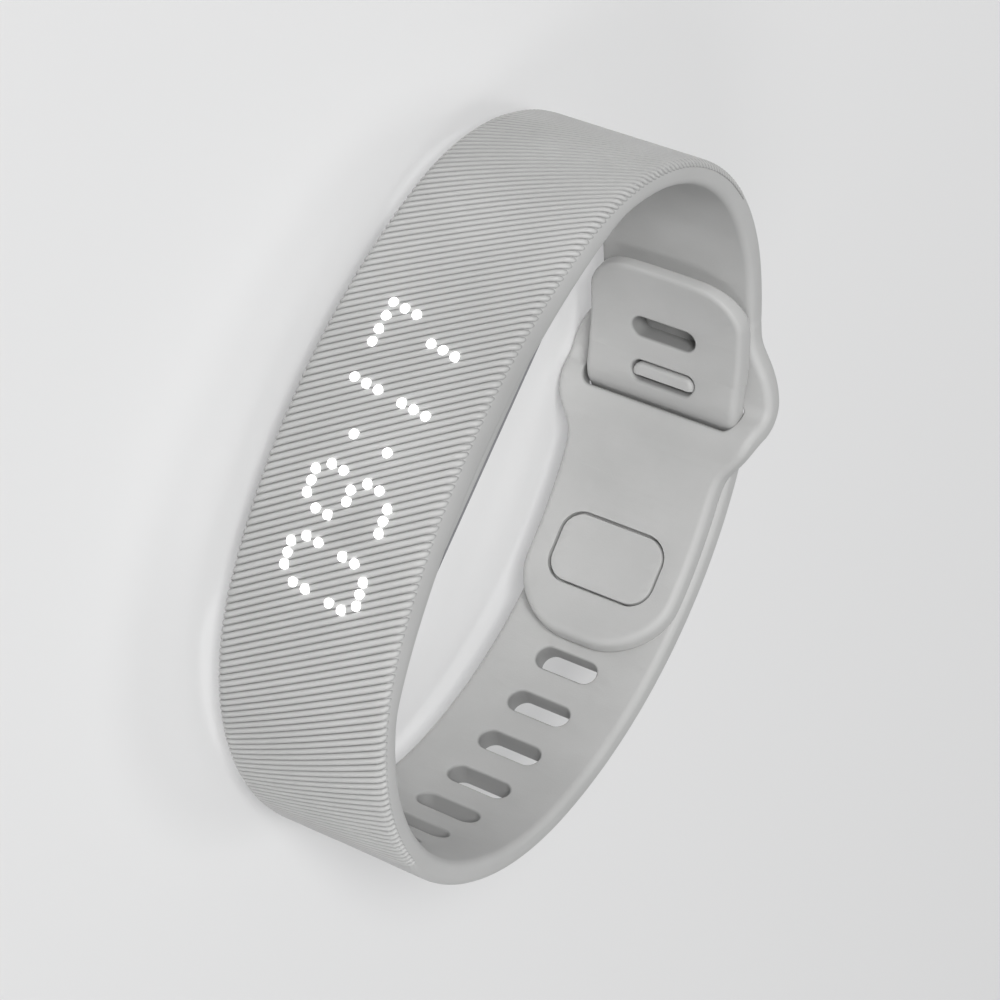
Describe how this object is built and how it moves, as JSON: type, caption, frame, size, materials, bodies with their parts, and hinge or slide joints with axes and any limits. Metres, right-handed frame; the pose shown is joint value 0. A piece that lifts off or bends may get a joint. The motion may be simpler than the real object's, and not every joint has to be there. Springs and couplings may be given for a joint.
{
  "type": "vibrating alarm wristband",
  "caption": "Closed silicone wristband with a ribbed dot-light clock front, slotted strap and loop clasp, and a sealed case with battery, circuit boards and vibration motor.",
  "frame": {"origin": "middle of the closed ring's box, at half the band's width", "axes": "+X along the ring's long side towards the slotted strap, +Y from the display towards the overlap at the back of the wrist, +Z along the ring's axis"},
  "size_m": [0.068, 0.0544, 0.0222],
  "materials": {
    "silicone": "matte moulded silicone",
    "case_plastic": "matte moulded polycarbonate",
    "gasket_rubber": "black sealing rubber",
    "screw_steel": "bright steel",
    "mask_plastic": "black light mask",
    "light_resin": "white light chips",
    "flex_film": "amber polyimide film",
    "chip_resin": "black chip resin",
    "board_green": "green solder mask",
    "can_metal": "plain steel can",
    "ceramic": "pale ceramic",
    "battery_foil": "silver pouch foil",
    "lead_red": "red insulated tab",
    "lead_blue": "blue insulated lead",
    "foam": "white foam tape",
    "gold": "gold plate",
    "magnet": "nickel plate",
    "shaft_steel": "ground steel",
    "brush_copper": "copper alloy",
    "copper": "enamelled copper wire",
    "rotor_resin": "moulded black resin",
    "tungsten": "sintered heavy alloy"
  },
  "bodies": {
    "band": {"front_sleeve": "silicone", "short_strap": "silicone", "long_strap": "silicone", "case_shell": "case_plastic", "case_cover": "case_plastic", "cover_gasket": "gasket_rubber", "cover_screws": "screw_steel", "light_grid": "mask_plastic", "display_lights": "light_resin", "display_board": "flex_film", "display_connector": "chip_resin", "main_board": "board_green", "control_chip": "chip_resin", "motion_sensor": "chip_resin", "clock_crystal": "can_metal", "radio_antenna": "ceramic", "charge_chip": "chip_resin", "board_passives": "ceramic", "battery_cell": "battery_foil", "battery_leads": "lead_red", "battery_tape": "foam", "charge_contacts": "gold", "charge_flex": "flex_film", "dock_magnets": "magnet", "motor_base": "can_metal", "motor_can": "can_metal", "motor_shaft": "shaft_steel", "motor_magnet": "magnet", "motor_brushes": "brush_copper", "motor_tape": "foam", "motor_leads": "lead_blue"},
    "tail": {"strap_tail": "silicone"},
    "flap": {"strap_flap": "silicone", "clasp_plate": "silicone"},
    "rotor": {"rotor_disc": "rotor_resin", "rotor_weight": "tungsten", "rotor_coils": "copper", "rotor_commutator": "gold"}
  },
  "joints": [
    {"name": "tail_lift", "type": "hinge", "parent": "band", "child": "tail", "pos_m": [-0.02056, 0.01573, 0], "axis": [0, 0, 1], "range_deg": [0, 50], "stiffness_Nm_per_rad": 0.002},
    {"name": "flap_lift", "type": "hinge", "parent": "band", "child": "flap", "pos_m": [-0.01066, 0.02142, 0], "axis": [0, 0, -1], "range_deg": [0, 30], "stiffness_Nm_per_rad": 0.004},
    {"name": "motor_spin", "type": "hinge", "parent": "band", "child": "rotor", "pos_m": [-0.01017, -0.02121, 0], "axis": [0, 1, 0], "continuous": true}
  ]
}
